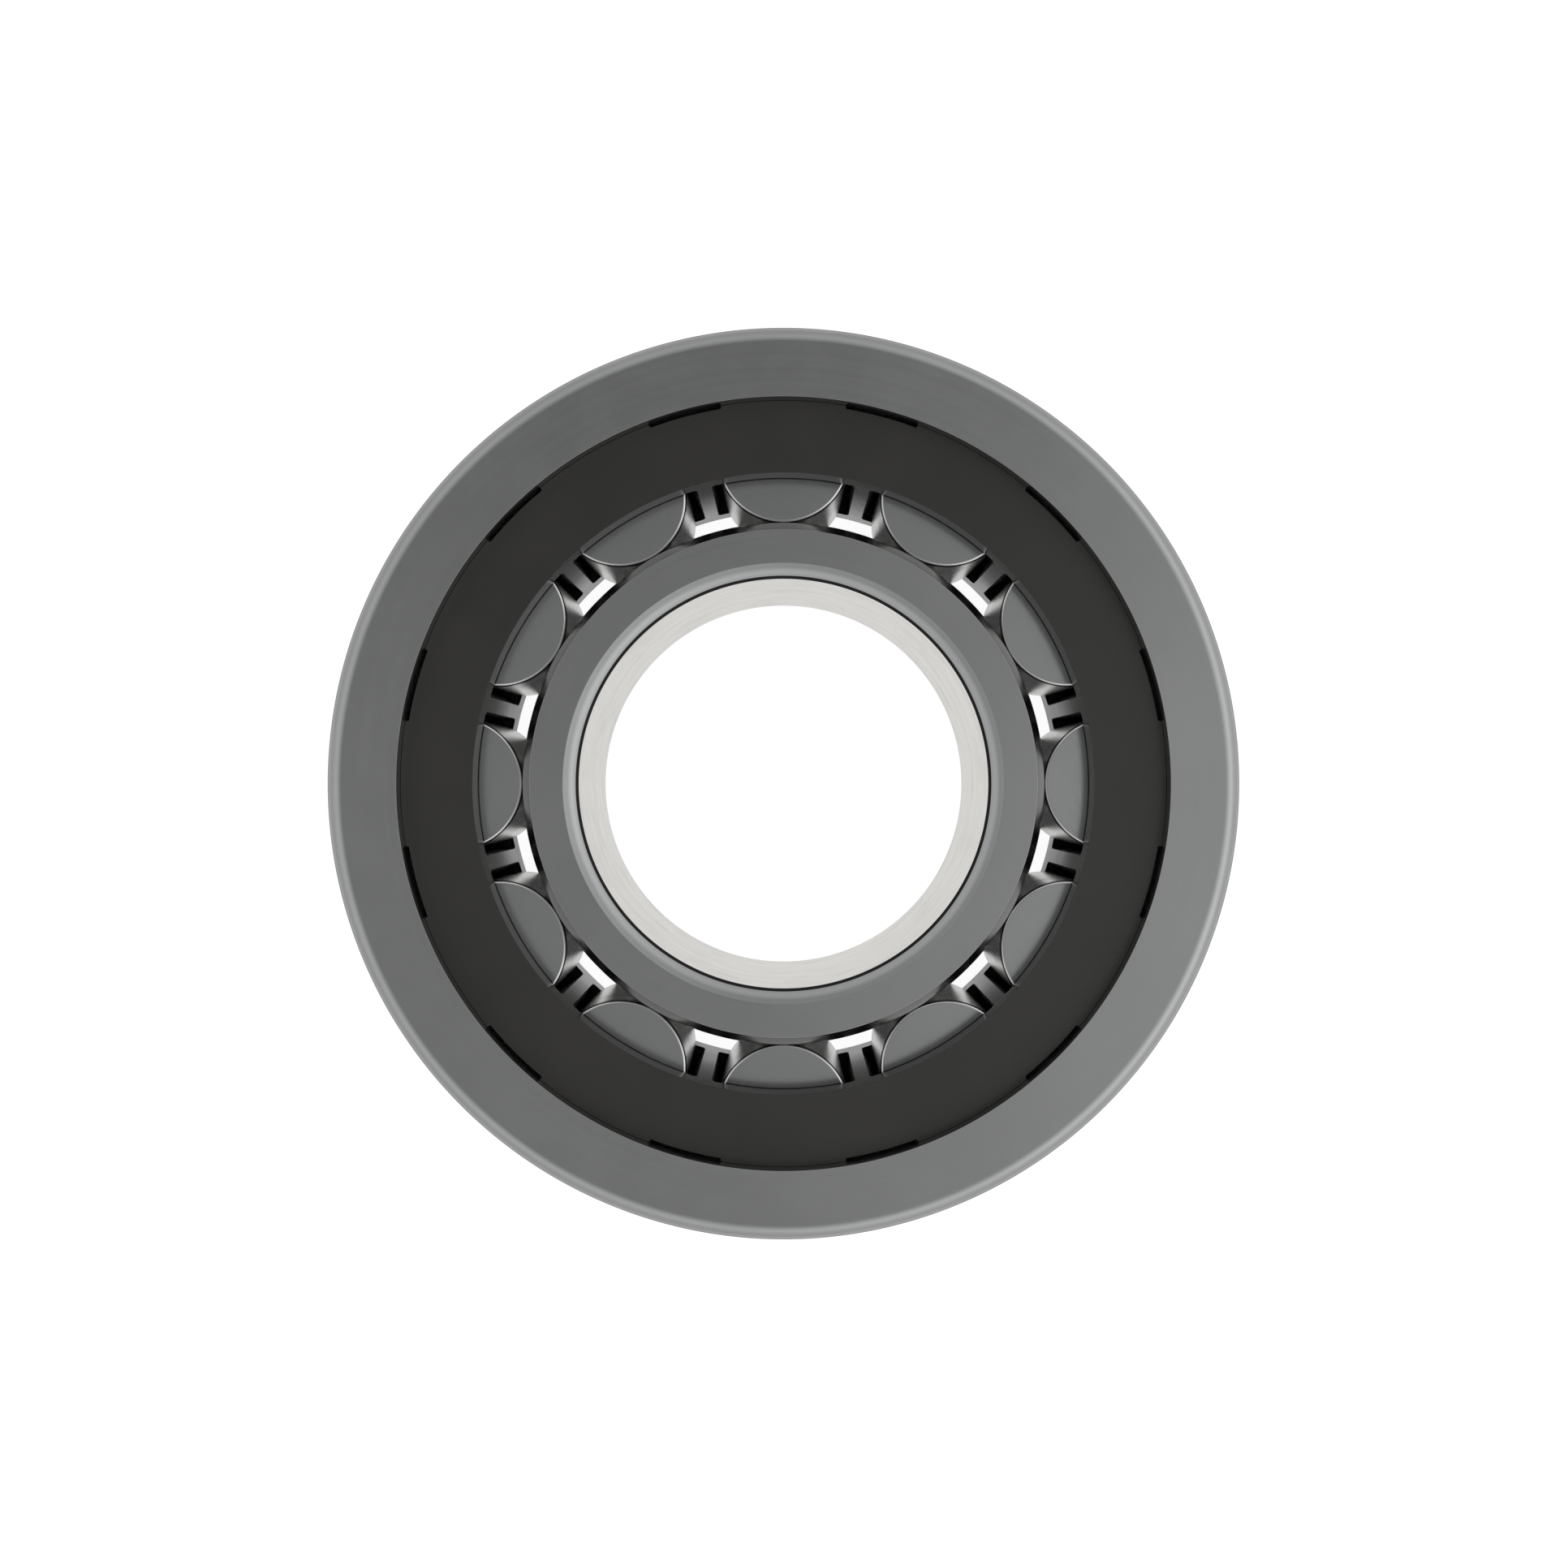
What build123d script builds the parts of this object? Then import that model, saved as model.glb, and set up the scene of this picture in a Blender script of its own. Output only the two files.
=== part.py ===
from build123d import *
from math import asin, atan2, cos, degrees, hypot, pi, radians, sin, tan
import os

# Cylindrical roller bearing, metric dimension series 23, 45 x 100 x 36 mm.
# Two fixed flanges on the outer ring, one fixed flange on the back of the inner
# ring, twelve rollers and a one-piece moulded window cage.
# Frame: the bearing lies flat, its axis is Z, and the origin is its centre.
# The first roller stands on +Y and the others follow clockwise seen from +Z.

# ---- boundary dimensions (mm) ----
BORE_D = 45.0            # shaft seat
OUTER_D = 100.0          # housing seat
WIDTH = 36.0             # both rings
INNER_CORNER_R = 1.5     # bore corners of the inner ring
OUTER_CORNER_R = 1.9     # outer corners of the outer ring

# ---- rollers ----
ROLLERS = 12
PITCH_R = 36.75          # circle through the roller axes
ROLLER_D = 14.96
ROLLER_L = 22.7
ROLLER_CORNER_R = 0.35

# ---- raceways ----
RADIAL_PLAY = 0.02       # between a roller and each raceway
INNER_RACE_R = PITCH_R - ROLLER_D / 2 - RADIAL_PLAY      # 29.25
OUTER_RACE_R = PITCH_R + ROLLER_D / 2 + RADIAL_PLAY      # 44.25

# ---- outer ring ----
FLANGE_BORE_R = 42.17
FLANGE_PLAY = 0.05       # between a roller end and each flange
FLANGE_EDGE_R = 0.05
RELIEF_DEPTH = 0.25      # grinding relief where raceway and flange meet
RELIEF_FLAT = 0.30
RELIEF_RAMP = 0.30

# ---- inner ring ----
LEAD_FACE_R = 27.68      # radius at which the lead-in cone starts on the face
LEAD_ANGLE = 16.0        # of the lead-in cone to the axis, degrees
LEAD_EDGE_R = 0.08
LEAD_BLEND_R = 13.0      # long blend between the cone and the raceway
INNER_FLANGE_R = 32.20   # outside of the flange at the back
INNER_FLANGE_EDGE_R = 0.25

# ---- cage ----
CAGE_BORE_R = 34.24
CAGE_PAD_R = 42.10       # guide pads on the side rings, riding in the flange bores
CAGE_NOTCH_R = 41.80     # bottom of the oil notches between the pads
CAGE_BAR_R = 41.60       # outside of the bars
CAGE_WIDTH = 31.2
CAGE_EDGE_R = 0.08
PAD_GAP = 7.95           # width of the oil notch between two pads
POCKET_L = 23.0          # pocket length along the axis
POCKET_HALF_BORE = 8.06  # half width of a pocket at the cage bore
POCKET_HALF_MID = 7.70   # half width of a pocket from the pitch circle outward
POCKET_CORNER_R = 0.20


def rounded(points):
    """Closed wire through (x, y, r) corners, each corner rounded to radius r."""
    n = len(points)
    entry, leave, middle = [], [], []
    for i, (x, y, r) in enumerate(points):
        px, py, _ = points[i - 1]
        qx, qy, _ = points[(i + 1) % n]
        ax, ay = px - x, py - y
        bx, by = qx - x, qy - y
        la, lb = hypot(ax, ay), hypot(bx, by)
        ax, ay, bx, by = ax / la, ay / la, bx / lb, by / lb
        if r <= 0:
            entry.append((x, y))
            leave.append((x, y))
            middle.append(None)
            continue
        half = abs(atan2(ax * by - ay * bx, ax * bx + ay * by)) / 2
        t = r / tan(half)
        entry.append((x + ax * t, y + ay * t))
        leave.append((x + bx * t, y + by * t))
        mx, my = ax + bx, ay + by
        lm = hypot(mx, my)
        d = r / sin(half) - r
        middle.append((x + mx / lm * d, y + my / lm * d))
    edges = []
    for i in range(n):
        if middle[i] is not None:
            edges.append(ThreePointArc(entry[i], middle[i], leave[i]))
        a, b = leave[i], entry[(i + 1) % n]
        if hypot(a[0] - b[0], a[1] - b[1]) > 1e-6:
            edges.append(Line(a, b))
    return Wire(edges)


def turned(points):
    """Solid of revolution about Z from a profile of (radius, height, corner) points."""
    face = Plane.XZ * Face(rounded(points))
    return revolve(face, axis=Axis.Z, revolution_arc=360)


def mirrored(upper):
    """Adds the lower half of a profile that is symmetric about the mid plane."""
    return upper + [(x, -y, r) for x, y, r in reversed(upper)]


HALF = WIDTH / 2

# ---- outer ring: housing seat, two fixed flanges, raceway between them ----
flange_z = ROLLER_L / 2 + FLANGE_PLAY
outer_ring = turned(
    mirrored(
        [
            (OUTER_D / 2, HALF, OUTER_CORNER_R),
            (FLANGE_BORE_R, HALF, FLANGE_EDGE_R),
            (FLANGE_BORE_R, flange_z, FLANGE_EDGE_R),
            (OUTER_RACE_R + RELIEF_DEPTH, flange_z, 0.12),
            (OUTER_RACE_R + RELIEF_DEPTH, flange_z - RELIEF_FLAT, 0.12),
            (OUTER_RACE_R, flange_z - RELIEF_FLAT - RELIEF_RAMP, 0.0),
        ]
    )
)

# ---- inner ring: shaft bore, plain raceway with a long lead-in at the front,
# ---- and one fixed flange at the back that the roller ends run against ----
lead_length = (INNER_RACE_R - LEAD_FACE_R) / tan(radians(LEAD_ANGLE))
inner_ring = turned(
    [
        (BORE_D / 2, HALF, INNER_CORNER_R),
        (LEAD_FACE_R, HALF, LEAD_EDGE_R),
        (INNER_RACE_R, HALF - lead_length, LEAD_BLEND_R),
        (INNER_RACE_R, -flange_z + RELIEF_FLAT + RELIEF_RAMP, 0.0),
        (INNER_RACE_R - RELIEF_DEPTH, -flange_z + RELIEF_FLAT, 0.12),
        (INNER_RACE_R - RELIEF_DEPTH, -flange_z, 0.12),
        (INNER_FLANGE_R, -flange_z, INNER_FLANGE_EDGE_R),
        (INNER_FLANGE_R, -HALF, INNER_FLANGE_EDGE_R),
        (BORE_D / 2, -HALF, INNER_CORNER_R),
    ]
)

# ---- cage: two side rings joined by twelve bars, one moulding ----
half_cage = CAGE_WIDTH / 2
cage = turned(
    mirrored(
        [
            (CAGE_BORE_R, half_cage, CAGE_EDGE_R),
            (CAGE_PAD_R, half_cage, CAGE_EDGE_R),
            (CAGE_PAD_R, POCKET_L / 2, CAGE_EDGE_R),
            (CAGE_BAR_R, POCKET_L / 2, 0.0),
        ]
    )
)

# Oil notches across the rim of both side rings, one at each bar, so that a
# guide pad stands over each roller.
half_notch = asin(PAD_GAP / 2 / CAGE_PAD_R)
notch_outer = CAGE_PAD_R + 1.0


def on_circle(radius, angle):
    return (radius * sin(angle), radius * cos(angle))


notch_face = Face(
    Wire(
        [
            ThreePointArc(
                on_circle(CAGE_NOTCH_R, -half_notch),
                on_circle(CAGE_NOTCH_R, 0),
                on_circle(CAGE_NOTCH_R, half_notch),
            ),
            Line(on_circle(CAGE_NOTCH_R, half_notch), on_circle(notch_outer, half_notch)),
            ThreePointArc(
                on_circle(notch_outer, half_notch),
                on_circle(notch_outer, 0),
                on_circle(notch_outer, -half_notch),
            ),
            Line(on_circle(notch_outer, -half_notch), on_circle(CAGE_NOTCH_R, -half_notch)),
        ]
    )
)
notch = extrude(notch_face, amount=half_cage + 1.0, both=True)
for k in range(ROLLERS):
    cage = cage - Rot(0, 0, -360.0 / ROLLERS * (k + 0.5)) * notch

# One pocket, open at the bore and at the outside. Its walls run parallel from
# the pitch circle outward and open slightly toward the bore, so that each bar
# is a wedge with a narrow nose.
bore_y = CAGE_BORE_R * cos(asin(POCKET_HALF_BORE / CAGE_BORE_R))
slope = (POCKET_HALF_BORE - POCKET_HALF_MID) / (PITCH_R - bore_y)
inside_y = bore_y - 6.0
inside_half = POCKET_HALF_BORE + slope * 6.0
outside_y = CAGE_PAD_R + 3.0
pocket_face = Face(
    rounded(
        [
            (-inside_half, inside_y, 0.0),
            (inside_half, inside_y, 0.0),
            (POCKET_HALF_MID, PITCH_R, 3.0),
            (POCKET_HALF_MID, outside_y, 0.0),
            (-POCKET_HALF_MID, outside_y, 0.0),
            (-POCKET_HALF_MID, PITCH_R, 3.0),
        ]
    )
)
pocket = extrude(pocket_face, amount=POCKET_L / 2, both=True)
pocket = fillet(
    [
        e
        for e in pocket.edges()
        if abs(abs(e.center().Z) - POCKET_L / 2) < 1e-6
        and abs(e.center().X) > POCKET_HALF_MID - 0.2
    ],
    POCKET_CORNER_R,
)
for k in range(ROLLERS):
    cage = cage - Rot(0, 0, -360.0 / ROLLERS * k) * pocket

# ---- rollers ----
roller = turned(
    [
        (0.0, ROLLER_L / 2, 0.0),
        (ROLLER_D / 2, ROLLER_L / 2, ROLLER_CORNER_R),
        (ROLLER_D / 2, -ROLLER_L / 2, ROLLER_CORNER_R),
        (0.0, -ROLLER_L / 2, 0.0),
    ]
)

nodes = {"outer_ring": outer_ring, "inner_ring": inner_ring, "cage": cage}
for k in range(ROLLERS):
    a = 2 * pi * k / ROLLERS
    nodes["roller_%02d" % (k + 1)] = (
        Pos(PITCH_R * sin(a), PITCH_R * cos(a), 0) * roller
    )

os.makedirs("parts", exist_ok=True)
for name, shape in nodes.items():
    solids = shape.solids()
    assert len(solids) == 1, (name, len(solids))
    solid = solids[0]
    assert solid.is_valid and solid.volume > 0, name
    box = solid.bounding_box()
    print(
        "%-10s volume %10.2f mm3  x %8.3f..%8.3f  y %8.3f..%8.3f  z %8.3f..%8.3f"
        % (name, solid.volume, box.min.X, box.max.X, box.min.Y, box.max.Y, box.min.Z, box.max.Z)
    )
    export_step(solid, "parts/%s.step" % name)
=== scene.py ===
import math

import bpy
import numpy as np
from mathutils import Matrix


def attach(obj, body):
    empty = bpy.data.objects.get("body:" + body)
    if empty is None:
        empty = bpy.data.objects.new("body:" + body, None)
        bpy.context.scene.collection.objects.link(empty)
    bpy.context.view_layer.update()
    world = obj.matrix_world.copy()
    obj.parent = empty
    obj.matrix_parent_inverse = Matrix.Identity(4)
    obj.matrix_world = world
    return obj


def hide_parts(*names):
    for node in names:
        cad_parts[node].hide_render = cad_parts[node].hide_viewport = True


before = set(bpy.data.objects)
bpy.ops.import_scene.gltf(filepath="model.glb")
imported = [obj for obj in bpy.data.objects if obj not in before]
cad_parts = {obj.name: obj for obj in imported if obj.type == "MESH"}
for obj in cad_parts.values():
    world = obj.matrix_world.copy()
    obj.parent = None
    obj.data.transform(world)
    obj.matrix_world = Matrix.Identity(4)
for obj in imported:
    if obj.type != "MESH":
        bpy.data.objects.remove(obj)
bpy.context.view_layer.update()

# ---------------------------------------------------------------- dimensions, mm
PITCH_R = 36.75
ROLLERS = 12
ROLLER_R = 7.48
ROLLER_L = 22.7
INNER_RACE_R = 29.25
OUTER_RACE_R = 44.25
FLANGE_BORE_R = 42.17
HALF_WIDTH = 18.0
CAGE_BORE_R = 34.24
CAGE_NOTCH_R = 41.80
CAGE_PAD_R = 42.15
CAGE_BAR_R = 41.60
ROLLER_CORNER_R = 0.35
LEAD_ANGLE = 16.0
INNER_FLANGE_R = 32.20
CAGE_HALF = 15.6
PAD_GAP = 7.95
POCKET_HALF_L = 11.50
POCKET_HALF_BORE = 8.06
POCKET_HALF_MID = 7.70
MM = 0.001


# ---------------------------------------------------------------- outlines
def outline(points, steps=8, closed=True):
    """Corner points (x, y, radius) as a smooth outline: positions, and the outward normal on the way in and on the way out of each."""
    pts = [(float(x), float(y), float(r)) for x, y, r in points]
    n = len(pts)
    area = sum(
        pts[i][0] * pts[(i + 1) % n][1] - pts[(i + 1) % n][0] * pts[i][1]
        for i in range(n)
    )
    if area < 0:
        pts.reverse()
    pos, nin, nout = [], [], []
    for i, (x, y, r) in enumerate(pts):
        px, py, _ = pts[i - 1]
        qx, qy, _ = pts[(i + 1) % n]
        a = np.array([x - px, y - py])
        b = np.array([qx - x, qy - y])
        a /= np.linalg.norm(a)
        b /= np.linalg.norm(b)
        na = np.array([a[1], -a[0]])
        nb = np.array([b[1], -b[0]])
        turn = math.atan2(a[0] * b[1] - a[1] * b[0], float(a @ b))
        if r <= 0 or abs(turn) < 1e-4:
            pos.append((x, y))
            nin.append(na)
            nout.append(nb)
            continue
        t = r * math.tan(abs(turn) / 2)
        start = np.array([x, y]) - a * t
        centre = start - na * r if turn > 0 else start + na * r
        k = max(3, int(steps * max(1.0, abs(turn) / (math.pi / 2)))) if r >= 0.3 else 4
        for s in range(k + 1):
            w = turn * s / k
            c, d = math.cos(w), math.sin(w)
            m = np.array([na[0] * c - na[1] * d, na[0] * d + na[1] * c])
            p = centre + m * r if turn > 0 else centre - m * r
            pos.append(tuple(p))
            nin.append(m)
            nout.append(m)
    return np.array(pos), np.array(nin), np.array(nout)


def mirrored(upper):
    return upper + [(x, -y, r) for x, y, r in reversed(upper)]


def to_object(name, verts, faces, normals):
    me = bpy.data.meshes.new(name)
    me.from_pydata([tuple(v) for v in verts], [], faces)
    me.update()
    me.polygons.foreach_set("use_smooth", [True] * len(me.polygons))
    me.normals_split_custom_set([tuple(n) for n in normals])
    me.update()
    o = bpy.data.objects.new(name, me)
    bpy.context.scene.collection.objects.link(o)
    return o


class Build:
    """Collects quads with a normal at every corner."""

    def __init__(self):
        self.v, self.f, self.n = [], [], []

    def lathe(self, shape, segments, angles=None, cut_above=None, cut=None):
        """Turns a closed outline of (radius, height) in mm about Z. Where cut is given, points beyond that radius fall back by cut(angle)."""
        pos, nin, nout = shape
        m = len(pos)
        ang = angles or [2 * math.pi * j / segments for j in range(segments)]
        segments = len(ang)
        cs = [(math.cos(a), math.sin(a)) for a in ang]
        cuts = [cut(a) if cut else (0.0, 0.0) for a in ang]
        index = {}
        for i in range(m):
            r, z = pos[i]
            if r < 1e-7:
                index[i] = [len(self.v)] * segments
                self.v.append((0.0, 0.0, z * MM))
            else:
                index[i] = list(range(len(self.v), len(self.v) + segments))
                moved = cut_above is not None and r > cut_above
                for (c, s), (d, _) in zip(cs, cuts):
                    rr = r - d if moved else r
                    self.v.append((rr * c * MM, rr * s * MM, z * MM))
        for i in range(m):
            k = (i + 1) % m
            ra, rb = pos[i][0], pos[k][0]
            if ra < 1e-7 and rb < 1e-7:
                continue
            no, ni = nout[i], nin[k]
            for j in range(segments):
                q = (j + 1) % segments
                corners = [
                    (index[i][j], no, j, ra),
                    (index[i][q], no, q, ra),
                    (index[k][q], ni, q, rb),
                    (index[k][j], ni, j, rb),
                ]
                seen, keep = set(), []
                for c in corners:
                    if c[0] not in seen:
                        seen.add(c[0])
                        keep.append(c)
                self.f.append([c[0] for c in keep])
                for _, nn, jj, rr in keep:
                    c, s = cs[jj]
                    n = [nn[0] * c, nn[0] * s, nn[1]]
                    if cut_above is not None and rr > cut_above and cuts[jj][1]:
                        t = cuts[jj][1] / rr * nn[0]
                        n = [n[0] - s * t, n[1] + c * t, n[2]]
                        w = math.sqrt(sum(v * v for v in n)) or 1.0
                        n = [v / w for v in n]
                    self.n.append(tuple(n))

    def object(self, name):
        return to_object(name, self.v, self.f, self.n)


# ---------------------------------------------------------------- rings
def ring_outer():
    flange_z = ROLLER_L / 2 + 0.05
    shape = outline(
        mirrored(
            [
                (50.0, HALF_WIDTH, 1.9),
                (FLANGE_BORE_R, HALF_WIDTH, 0.03),
                (FLANGE_BORE_R, flange_z, 0.05),
                (OUTER_RACE_R + 0.25, flange_z, 0.12),
                (OUTER_RACE_R + 0.25, flange_z - 0.30, 0.12),
                (OUTER_RACE_R, flange_z - 0.60, 0.0),
            ]
        ),
        steps=14,
    )
    b = Build()
    b.lathe(shape, 720)
    return b.object("outer_ring_ground")


def ring_inner():
    """The corners of the bore are a shallow chamfer, a radius and a small break; the flange is at the back."""
    flange_z = ROLLER_L / 2 + 0.05
    lead = (INNER_RACE_R - 27.68) / math.tan(math.radians(LEAD_ANGLE))
    shape = outline(
        [
            (22.5, HALF_WIDTH - 2.05, 0.05),
            (22.66, HALF_WIDTH - 0.675, 0.05),
            (23.05, HALF_WIDTH - 0.322, 2.5),
            (24.04, HALF_WIDTH, 0.10),
            (27.68, HALF_WIDTH, 0.05),
            (INNER_RACE_R, HALF_WIDTH - lead, 13.0),
            (INNER_RACE_R, -flange_z + 0.60, 0.0),
            (INNER_RACE_R - 0.25, -flange_z + 0.30, 0.12),
            (INNER_RACE_R - 0.25, -flange_z, 0.12),
            (INNER_FLANGE_R, -flange_z, 0.25),
            (INNER_FLANGE_R, -HALF_WIDTH, 0.25),
            (24.04, -HALF_WIDTH, 0.10),
            (23.05, -HALF_WIDTH + 0.322, 2.5),
            (22.66, -HALF_WIDTH + 0.675, 0.05),
            (22.5, -HALF_WIDTH + 1.60, 0.05),
        ],
        steps=14,
    )
    b = Build()
    b.lathe(shape, 600)
    return b.object("inner_ring_ground")


def roller(k):
    shape = outline(
        [
            (0.0, ROLLER_L / 2, 0.0),
            (ROLLER_R, ROLLER_L / 2, ROLLER_CORNER_R),
            (ROLLER_R, -ROLLER_L / 2, ROLLER_CORNER_R),
            (0.0, -ROLLER_L / 2, 0.0),
        ],
        steps=12,
    )
    b = Build()
    b.lathe(shape, 192)
    o = b.object("roller_%02d_honed" % (k + 1))
    a = 2 * math.pi * k / ROLLERS
    o.location = (PITCH_R * math.sin(a) * MM, PITCH_R * math.cos(a) * MM, 0.0)
    return o


# ---------------------------------------------------------------- cage
def pillar_outline(flare):
    """Cross-section of one bar, centred on the +X axis, its flanks moved outward by flare."""
    half_pitch = math.pi / ROLLERS

    def flank(y):
        """Point on the pocket wall at pocket height y, in the bar's frame."""
        bore_y = math.sqrt(CAGE_BORE_R**2 - POCKET_HALF_BORE**2)
        if y < PITCH_R:
            w = POCKET_HALF_MID + (POCKET_HALF_BORE - POCKET_HALF_MID) * (
                PITCH_R - y
            ) / (PITCH_R - bore_y)
        else:
            w = POCKET_HALF_MID
        w -= flare
        r = math.hypot(w, y)
        return r, half_pitch - math.atan2(w, y)

    def at_radius(target):
        lo, hi = 20.0, 60.0
        for _ in range(60):
            mid = (lo + hi) / 2
            if flank(mid)[0] < target:
                lo = mid
            else:
                hi = mid
        return flank(lo)[1]

    nose = at_radius(CAGE_BORE_R)
    top = at_radius(CAGE_BAR_R)
    pr, pa = flank(PITCH_R)
    pts = []
    for s in range(9):
        a = -nose + 2 * nose * s / 8
        pts.append(
            (CAGE_BORE_R * math.cos(a), CAGE_BORE_R * math.sin(a), 0.04 if s in (0, 8) else 0.0)
        )
    pts.append((pr * math.cos(pa), pr * math.sin(pa), 3.0))
    for s in range(13):
        a = top - 2 * top * s / 12
        pts.append(
            (CAGE_BAR_R * math.cos(a), CAGE_BAR_R * math.sin(a), 0.15 if s in (0, 12) else 0.0)
        )
    pts.append((pr * math.cos(-pa), pr * math.sin(-pa), 3.0))
    return outline(pts, steps=6)


def rim_cut(theta):
    """How far the rim falls back at this angle, and its slope: an oil notch at each bar, its ends rounded."""
    pitch = 2 * math.pi / ROLLERS
    off = (theta - math.pi / 2 + pitch / 2) % pitch - pitch / 2
    off = off - pitch / 2 if off > 0 else off + pitch / 2
    edge = math.asin(PAD_GAP / 2 / CAGE_PAD_R)
    w = 0.22 / CAGE_PAD_R
    t = (abs(off) - edge) / w
    depth = CAGE_PAD_R - CAGE_NOTCH_R
    if t <= 0:
        return depth, 0.0
    if t >= 1:
        return 0.0, 0.0
    slope = -depth * math.pi / 2 * math.sin(math.pi * t) / w
    return depth * 0.5 * (1 + math.cos(math.pi * t)), slope * (1 if off > 0 else -1)


def rim_angles():
    """Angles round the cage, closer together at the ends of the notches."""
    pitch = 2 * math.pi / ROLLERS
    edge = math.asin(PAD_GAP / 2 / CAGE_PAD_R)
    w = 0.22 / CAGE_PAD_R
    out = []
    for k in range(ROLLERS):
        mid = math.pi / 2 + pitch * (k + 0.5)
        out += [mid - edge + (2 * edge) * i / 20 for i in range(1, 20)]
        out += [mid + edge + w * i / 8 for i in range(9)]
        gap = pitch - 2 * edge - 2 * w
        out += [mid + edge + w + gap * i / 40 for i in range(1, 40)]
        out += [mid + pitch - edge - w + w * i / 8 for i in range(9)]
    return sorted(a % (2 * math.pi) for a in out)


def cage():
    b = Build()
    ring = [
        (CAGE_BORE_R, CAGE_HALF, 0.05),
        (CAGE_PAD_R, CAGE_HALF, 0.03),
        (CAGE_PAD_R, POCKET_HALF_L, 0.06),
        (CAGE_BORE_R + 0.40, POCKET_HALF_L, 0.05),
        (CAGE_BORE_R, POCKET_HALF_L + 0.40, 0.03),
    ]
    angles = rim_angles()
    b.lathe(outline(ring, steps=6), 0, angles, 40.0, rim_cut)
    b.lathe(outline([(x, -z, r) for x, z, r in ring], steps=6), 0, angles, 40.0, rim_cut)

    fillet = 0.2
    levels = [(POCKET_HALF_L + 0.44, fillet - 0.001, 1.55)]
    for s in range(0, 9):
        t = math.pi / 2 * (8 - s) / 8
        z = POCKET_HALF_L - fillet + fillet * math.sin(t)
        levels.append((z, fillet * (1 - math.cos(t)), t))
    half = levels[:]
    zs = [(z, f, t) for z, f, t in half] + [(-z, f, -t) for z, f, t in reversed(half)]
    sections = []
    for z, f, t in zs:
        pos, nin, nout = pillar_outline(max(f, 0.0))
        sections.append((z, t, pos, nin, nout))
    m = len(sections[0][2])
    for k in range(ROLLERS):
        phi = 2 * math.pi * (k + 0.5) / ROLLERS
        # the first bar stands clockwise of +Y
        rot = math.pi / 2 - phi
        c, s = math.cos(rot), math.sin(rot)

        def place(p):
            return (p[0] * c - p[1] * s, p[0] * s + p[1] * c)

        def normal(n2, p, t):
            r = math.hypot(p[0], p[1])
            tang = (-p[1] / r, p[0] / r)
            w = min(1.0, abs(n2[0] * tang[0] + n2[1] * tang[1]))
            beta = t * w
            x, y = place(n2)
            return (x * math.cos(beta), y * math.cos(beta), -math.sin(beta))

        base = len(b.v)
        for z, t, pos, nin, nout in sections:
            for p in pos:
                x, y = place(p)
                b.v.append((x * MM, y * MM, z * MM))
        for li in range(len(sections) - 1):
            z0, t0, p0, i0, o0 = sections[li]
            z1, t1, p1, i1, o1 = sections[li + 1]
            for i in range(m):
                q = (i + 1) % m
                b.f.append(
                    [
                        base + li * m + i,
                        base + (li + 1) * m + i,
                        base + (li + 1) * m + q,
                        base + li * m + q,
                    ]
                )
                b.n.append(normal(o0[i], p0[i], t0))
                b.n.append(normal(o1[i], p1[i], t1))
                b.n.append(normal(i1[q], p1[q], t1))
                b.n.append(normal(i0[q], p0[q], t0))
    return b.object("cage_moulded")


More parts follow.
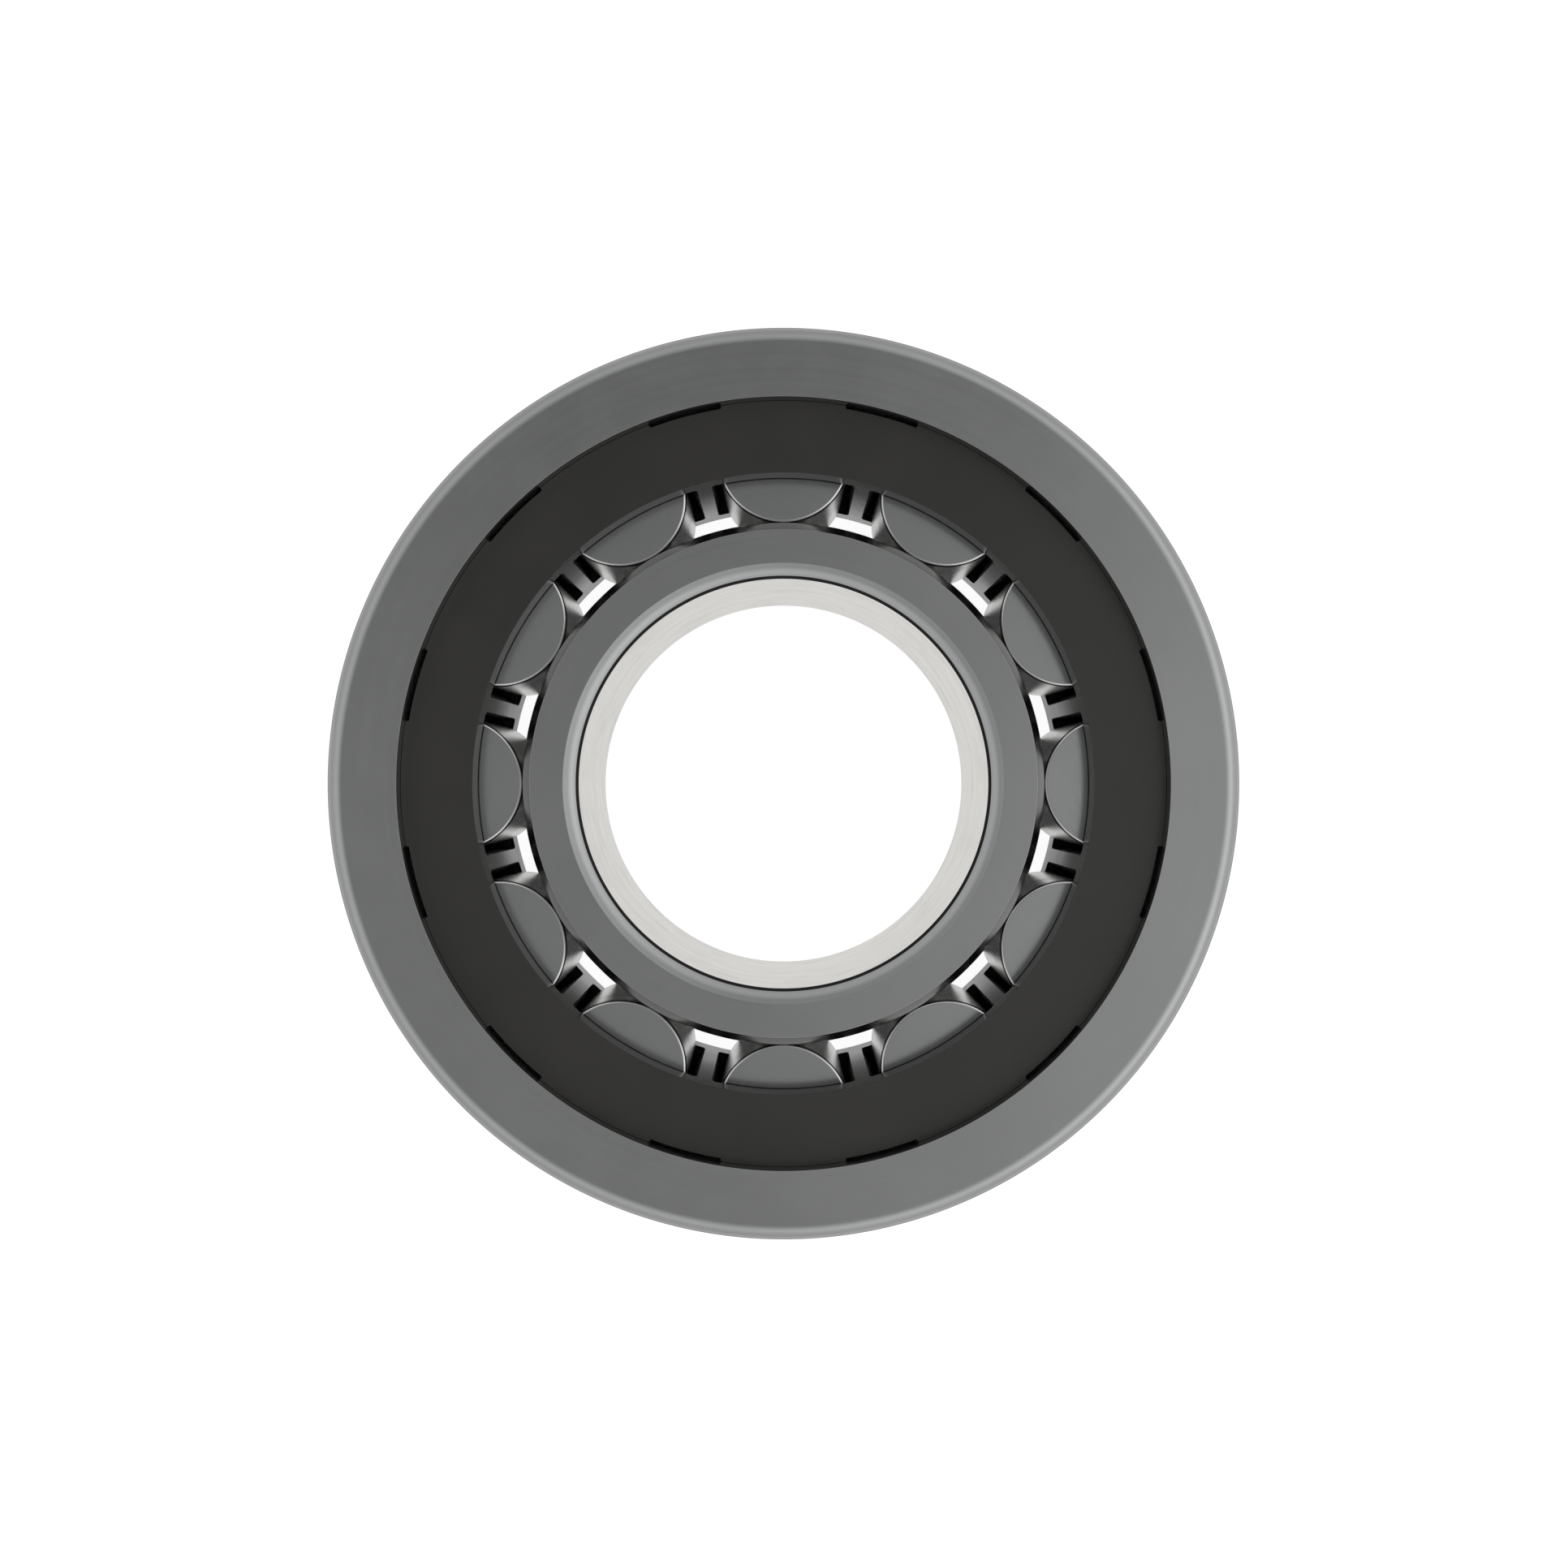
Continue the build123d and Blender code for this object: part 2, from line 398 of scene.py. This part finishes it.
# ---------------------------------------------------------------- node helpers
class Nodes:
    def __init__(self, name):
        self.mat = bpy.data.materials.new(name)
        self.mat.use_nodes = True
        self.t = self.mat.node_tree
        self.bsdf = self.t.nodes["Principled BSDF"]
        self.x = -1800

    def new(self, kind, **sets):
        n = self.t.nodes.new(kind)
        for k, v in sets.items():
            setattr(n, k, v)
        return n

    def link(self, a, b):
        self.t.links.new(a, b)

    def math(self, op, a, b=None, c=None, clamp=False):
        n = self.new("ShaderNodeMath", operation=op, use_clamp=clamp)
        for i, v in enumerate((a, b, c)):
            if v is None:
                continue
            if isinstance(v, (int, float)):
                n.inputs[i].default_value = v
            else:
                self.link(v, n.inputs[i])
        return n.outputs[0]

    def coords(self):
        tc = self.new("ShaderNodeTexCoord")
        sep = self.new("ShaderNodeSeparateXYZ")
        self.link(tc.outputs["Object"], sep.inputs[0])
        x, y, z = sep.outputs
        r2 = self.math("ADD", self.math("MULTIPLY", x, x), self.math("MULTIPLY", y, y))
        r = self.math("SQRT", r2)
        a = self.math("ARCTAN2", y, x)
        return tc.outputs["Object"], x, y, z, r, a

    def combine(self, x, y, z):
        n = self.new("ShaderNodeCombineXYZ")
        for i, v in enumerate((x, y, z)):
            if isinstance(v, (int, float)):
                n.inputs[i].default_value = v
            else:
                self.link(v, n.inputs[i])
        return n.outputs[0]

    def noise(self, vec, scale, detail=2.0, rough=0.5, dims="3D"):
        n = self.new("ShaderNodeTexNoise", noise_dimensions=dims)
        n.inputs["Scale"].default_value = scale
        n.inputs["Detail"].default_value = detail
        n.inputs["Roughness"].default_value = rough
        self.link(vec, n.inputs["Vector"])
        return n.outputs["Fac"]

    def ramp(self, fac, stops, interp="LINEAR"):
        n = self.new("ShaderNodeValToRGB")
        n.color_ramp.interpolation = interp
        el = n.color_ramp.elements
        while len(el) > 1:
            el.remove(el[-1])
        el[0].position, el[0].color = stops[0][0], stops[0][1]
        for p, c in stops[1:]:
            e = el.new(p)
            e.color = c
        self.link(fac, n.inputs[0])
        return n.outputs[0]

    def between(self, v, lo, hi, a, b, smooth=True):
        n = self.new("ShaderNodeMapRange")
        n.interpolation_type = "SMOOTHSTEP" if smooth else "LINEAR"
        n.inputs["From Min"].default_value = lo
        n.inputs["From Max"].default_value = hi
        n.inputs["To Min"].default_value = a
        n.inputs["To Max"].default_value = b
        self.link(v, n.inputs["Value"])
        return n.outputs["Result"]

    def mix(self, fac, a, b):
        n = self.new("ShaderNodeMix", data_type="RGBA")
        for sock, v in ((n.inputs[0], fac), (n.inputs[6], a), (n.inputs[7], b)):
            if isinstance(v, (int, float)):
                sock.default_value = v
            elif isinstance(v, (tuple, list)):
                sock.default_value = v
            else:
                self.link(v, sock)
        return n.outputs[2]

    def bump(self, height, strength, distance, normal=None):
        n = self.new("ShaderNodeBump")
        n.inputs["Strength"].default_value = strength
        n.inputs["Distance"].default_value = distance
        self.link(height, n.inputs["Height"])
        if normal is not None:
            self.link(normal, n.inputs["Normal"])
        return n.outputs[0]


def grey(v, r=0.0, g=0.0, b=0.0):
    return (v + r, v + g, v + b, 1.0)


def steel(name, base, rough, lay=1.0, corner=None, edge=0.97, side=None):
    """Ground bearing steel: turned and ground lay round the axis, faint stains and hairline scratches."""
    m = Nodes(name)
    obj, x, y, z, r, a = m.coords()
    # grinding lay: very long round the axis, very fine across it
    lay_vec = m.combine(m.math("MULTIPLY", r, 9000.0), m.math("MULTIPLY", z, 9000.0), m.math("MULTIPLY", a, 2.0))
    fine = m.noise(lay_vec, 1.0, 3.0, 0.6)
    wide_vec = m.combine(m.math("MULTIPLY", r, 1500.0), m.math("MULTIPLY", z, 1500.0), m.math("MULTIPLY", a, 0.8))
    wide = m.noise(wide_vec, 1.0, 2.0, 0.5)
    cloud = m.noise(obj, 55.0, 3.0, 0.55)
    stain = m.noise(obj, 220.0, 4.0, 0.6)
    scr_vec = m.combine(m.math("MULTIPLY", x, 2600.0), m.math("MULTIPLY", y, 160.0), m.math("MULTIPLY", z, 2600.0))
    scratch = m.noise(scr_vec, 1.0, 1.0, 0.5)
    hair = m.between(scratch, 0.68, 0.80, 0.0, 1.0)
    tone = m.between(cloud, 0.3, 0.7, 0.0, 1.0)
    dark = tuple(c * 0.96 for c in base) + (1.0,)
    light = tuple(min(1.0, c * 1.02) for c in base) + (1.0,)
    col = m.mix(tone, dark, light)
    col = m.mix(m.between(stain, 0.55, 0.75, 0.0, 0.10), col, tuple(c * 0.72 for c in base) + (1.0,))
    col = m.mix(m.between(fine, 0.25, 0.75, 0.0, 0.05 * lay), col, (0.9, 0.9, 0.9, 1.0))
    m.bsdf.inputs["Metallic"].default_value = 1.0
    # the corner hook paints light and shade into the colour: a painted shade line on the rings' bore corners, a painted
    # highlight and painted shade on the roller ends
    if corner:
        col = corner(m, col, r, z)
    m.link(col, m.bsdf.inputs["Base Color"])
    ro = m.math("ADD", m.between(wide, 0.3, 0.7, rough - 0.015, rough + 0.015), m.between(stain, 0.4, 0.8, 0.0, 0.03))
    ro = m.math("ADD", ro, m.math("MULTIPLY", hair, 0.03))
    if side is not None:
        # the rolling surface is honed in another direction from the ends, and scatters more
        at, more = side
        ro = m.math("ADD", ro, m.between(m.math("ABSOLUTE", z), at - 0.0001, at - 0.0004, 0.0, more))
    m.link(ro, m.bsdf.inputs["Roughness"])
    h = m.math("ADD", m.math("MULTIPLY", fine, 1.0), m.math("MULTIPLY", hair, -0.15))
    m.link(m.bump(h, 0.035 * lay, 0.00002), m.bsdf.inputs["Normal"])
    m.bsdf.inputs["Specular Tint"].default_value = (edge, edge * 0.99, edge * 0.97, 1.0)
    return m.mat


def plastic(name):
    """Dark glass-filled polyamide straight from the mould."""
    m = Nodes(name)
    obj, x, y, z, r, a = m.coords()
    fibre_vec = m.combine(m.math("MULTIPLY", r, 1800.0), m.math("MULTIPLY", a, 40.0), m.math("MULTIPLY", z, 1800.0))
    fibre = m.noise(fibre_vec, 1.0, 4.0, 0.65)
    grain = m.noise(obj, 3500.0, 3.0, 0.6)
    flow = m.noise(obj, 70.0, 3.0, 0.5)
    col = m.mix(m.between(flow, 0.3, 0.7, 0.0, 1.0), (0.031, 0.030, 0.0275, 1.0), (0.0345, 0.033, 0.030, 1.0))
    col = m.mix(m.between(fibre, 0.58, 0.75, 0.0, 0.10), col, (0.060, 0.057, 0.052, 1.0))
    m.link(col, m.bsdf.inputs["Base Color"])
    m.bsdf.inputs["Metallic"].default_value = 0.0
    m.bsdf.inputs["IOR"].default_value = 1.53
    m.bsdf.inputs["Specular IOR Level"].default_value = 0.8
    m.link(m.between(flow, 0.3, 0.7, 0.25, 0.31), m.bsdf.inputs["Roughness"])
    h = m.math("ADD", m.math("MULTIPLY", grain, 0.6), m.math("MULTIPLY", fibre, 0.4))
    m.link(m.bump(h, 0.16, 0.00003), m.bsdf.inputs["Normal"])
    return m.mat


def bore_corner(m, col, r, z):
    """Painted shade: a thin dark line where the bore corner meets the bore, standing in for the dark reflection there.
    """
    # painted shade: mask of the thin dark line over the corner's small break
    line = m.math(
        "MULTIPLY",
        m.between(r, 0.02268, 0.02271, 1.0, 0.0),
        m.between(m.math("ABSOLUTE", m.math("ADD", z, 0.000225)), 0.016155, 0.016195, 0.0, 1.0),
    )
    # the painted shade line is made dark and non-metallic, so it neither shines nor mirrors
    m.link(m.math("SUBTRACT", 1.0, line), m.bsdf.inputs["Metallic"])
    m.bsdf.inputs["Specular IOR Level"].default_value = 0.0
    bore = m.between(r, 0.02255, 0.02260, 1.0, 0.0)
    warm = m.mix(bore, col, (0.555, 0.552, 0.530, 1.0))
    return m.mix(line, warm, (0.045, 0.045, 0.045, 1.0))


def roller_corner(m, col, r, z):
    """Painted highlight on the ends' edges, and painted shade on the lower part of the rounded edge and the top of the
    side below them.
    """
    h = m.math("ABSOLUTE", z)
    top = ROLLER_L / 2 * MM
    # painted highlight: the upper part of the end's rounded edge
    painted_highlight = m.math(
        "MULTIPLY",
        m.between(h, top - 0.00014, top - 0.00009, 0.0, 1.0),
        m.between(r, (ROLLER_R - 0.34) * MM, (ROLLER_R - 0.26) * MM, 0.0, 1.0),
    )
    # painted shade: the lower part of the rounded edge and the top of the side
    dark = m.math(
        "MULTIPLY",
        m.between(h, top - 0.00014, top - 0.00010, 1.0, 0.0),
        m.between(h, top - 0.00135, top - 0.00115, 0.0, 1.0),
    )
    col = m.mix(painted_highlight, col, (0.93, 0.93, 0.93, 1.0))
    return m.mix(m.math("MULTIPLY", dark, 0.9), col, (0.05, 0.05, 0.055, 1.0))


# ---------------------------------------------------------------- pieces
ring_mat = steel("bearing_steel_ground", (0.56, 0.57, 0.572), 0.21, 1.0, bore_corner)
roller_mat = steel("roller_steel_honed", (0.585, 0.595, 0.60), 0.18, 0.6, roller_corner, 0.97, (ROLLER_L / 2 * MM - 0.0002, 0.07))
cage_mat = plastic("polyamide_dark")

outer = ring_outer()
inner = ring_inner()
cage_obj = cage()
for o, body, slot_name, mat in (
    (outer, "outer_ring", "ring_steel", ring_mat),
    (inner, "inner_ring", "ring_steel", ring_mat),
    (cage_obj, "cage", "cage_plastic", cage_mat),
):
    o.data.materials.append(mat)
    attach(o, body)
    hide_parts(body)
for k in range(ROLLERS):
    o = roller(k)
    n = "roller_%02d" % (k + 1)
    o.data.materials.append(roller_mat)
    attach(o, n)
    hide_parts(n)

# ---------------------------------------------------------------- floor
fm = bpy.data.meshes.new("floor")
fm.from_pydata([(-3, -3, -0.0182), (3, -3, -0.0182), (3, 3, -0.0182), (-3, 3, -0.0182)], [], [(0, 1, 2, 3)])
floor = bpy.data.objects.new("floor", fm)
bpy.context.scene.collection.objects.link(floor)
fmat = bpy.data.materials.new("floor_white")
fmat.use_nodes = True
fb = fmat.node_tree.nodes["Principled BSDF"]
fb.inputs["Base Color"].default_value = (0.3, 0.3, 0.3, 1.0)
fb.inputs["Roughness"].default_value = 0.9
fb.inputs["Specular IOR Level"].default_value = 0.0
fb.inputs["Emission Color"].default_value = (1.0, 1.0, 1.0, 1.0)
fb.inputs["Emission Strength"].default_value = 0.95
fm.materials.append(fmat)
floor.visible_glossy = False
floor.visible_diffuse = False
floor.visible_shadow = False

# ---------------------------------------------------------------- light
world = bpy.data.worlds.new("studio")
bpy.context.scene.world = world
world.use_nodes = True
wt = world.node_tree
bg = wt.nodes["Background"]


def wmath(op, a, b=None, clamp=False):
    n = wt.nodes.new("ShaderNodeMath")
    n.operation = op
    n.use_clamp = clamp
    for i, v in enumerate((a, b)):
        if v is None:
            continue
        if isinstance(v, (int, float)):
            n.inputs[i].default_value = v
        else:
            wt.links.new(v, n.inputs[i])
    return n.outputs[0]


tc = wt.nodes.new("ShaderNodeTexCoord")
sep = wt.nodes.new("ShaderNodeSeparateXYZ")
wt.links.new(tc.outputs["Generated"], sep.inputs[0])
dx, dy, dz = sep.outputs
zen = wmath("MULTIPLY", wmath("ARCCOSINE", dz), 180.0 / math.pi)
# 0 at +Y, growing clockwise seen from above, 0..1
turn = wmath("FRACT", wmath("ADD", wmath("DIVIDE", wmath("ARCTAN2", dx, dy), 2 * math.pi), 1.0))


def lin(v):
    v = v / 255.0
    return v / 12.92 if v <= 0.04045 else ((v + 0.055) / 1.055) ** 2.4


def around(tone, sides, gain):
    """One band of the sky: a key softbox to the right and a weaker fill to the left, as strong as sides says."""
    n = wt.nodes.new("ShaderNodeValToRGB")
    n.color_ramp.interpolation = "B_SPLINE"
    e = n.color_ramp.elements
    while len(e) > 1:
        e.remove(e[-1])
    k = 16
    for i in range(k + 1):
        az = 2 * math.pi * i / k
        swing = 0.18 * math.cos(az - math.radians(120)) + 0.11 * math.cos(2 * (az - math.radians(95)))
        v = lin(tone * (1.0 + sides * swing)) * gain
        c = (v, v * 1.0, v * 0.99, 1.0)
        if i == 0:
            e[0].position, e[0].color = 0.0, c
        else:
            x = e.new(i / k)
            x.color = c
    wt.links.new(turn, n.inputs[0])
    return n.outputs[0]


G = 1.0 / 0.59
BANDS = [
    # degrees from straight up, tone, strength of the key and fill, gain
    (0.0, 110, 0.0, G),
    (7.0, 112, 0.6, G),
    (13.0, 110, 1.0, G),
    (23.0, 120, 0.8, G),
    (32.0, 135, 0.6, G * 1.14),
    (42.0, 150, 0.6, G * 1.14),
    (54.0, 165, 0.6, G * 1.05),
    (70.0, 155, 0.4, G),
    (90.0, 145, 0.3, G),
    (104.0, 150, 0.2, G),
    (124.0, 165, 0.2, G),
    (140.0, 150, 0.0, G * 0.8),
    (158.0, 140, 0.0, G * 0.7),
    (170.0, 230, 0.0, 1.48),
    (180.0, 230, 0.0, 1.48),
]
sky = None
for i, (deg, tone, sides, gain) in enumerate(BANDS):
    band = around(tone, sides, gain)
    if sky is None:
        sky = band
        continue
    f = wt.nodes.new("ShaderNodeMapRange")
    f.inputs["From Min"].default_value = BANDS[i - 1][0]
    f.inputs["From Max"].default_value = deg
    wt.links.new(zen, f.inputs["Value"])
    mx = wt.nodes.new("ShaderNodeMix")
    mx.data_type = "RGBA"
    wt.links.new(f.outputs["Result"], mx.inputs[0])
    wt.links.new(sky, mx.inputs[6])
    wt.links.new(band, mx.inputs[7])
    sky = mx.outputs[2]
wt.links.new(sky, bg.inputs["Color"])
bg.inputs["Strength"].default_value = 1.0
# the backdrop itself is plain and pale
back = wt.nodes.new("ShaderNodeBackground")
back.inputs["Color"].default_value = (0.97, 0.97, 0.97, 1.0)
path = wt.nodes.new("ShaderNodeLightPath")
both = wt.nodes.new("ShaderNodeMixShader")
wt.links.new(path.outputs["Is Camera Ray"], both.inputs[0])
wt.links.new(bg.outputs[0], both.inputs[1])
wt.links.new(back.outputs[0], both.inputs[2])
wt.links.new(both.outputs[0], wt.nodes["World Output"].inputs["Surface"])

# ---------------------------------------------------------------- camera
cam = bpy.data.cameras.new("camera")
cam_obj = bpy.data.objects.new("camera", cam)
bpy.context.scene.collection.objects.link(cam_obj)
cam_obj.location = (0.0, 0.0, HALF_WIDTH * MM + 0.21165)
cam.sensor_width = 36.0
cam.lens = 36.0 * 2396.4 / 1932.0
cam.shift_x = 0.00034
cam.shift_y = -0.00026
cam.clip_start = 0.001
cam.clip_end = 20.0
bpy.context.scene.camera = cam_obj
bpy.context.scene.view_settings.view_transform = "Standard"
bpy.context.scene.view_settings.look = "None"
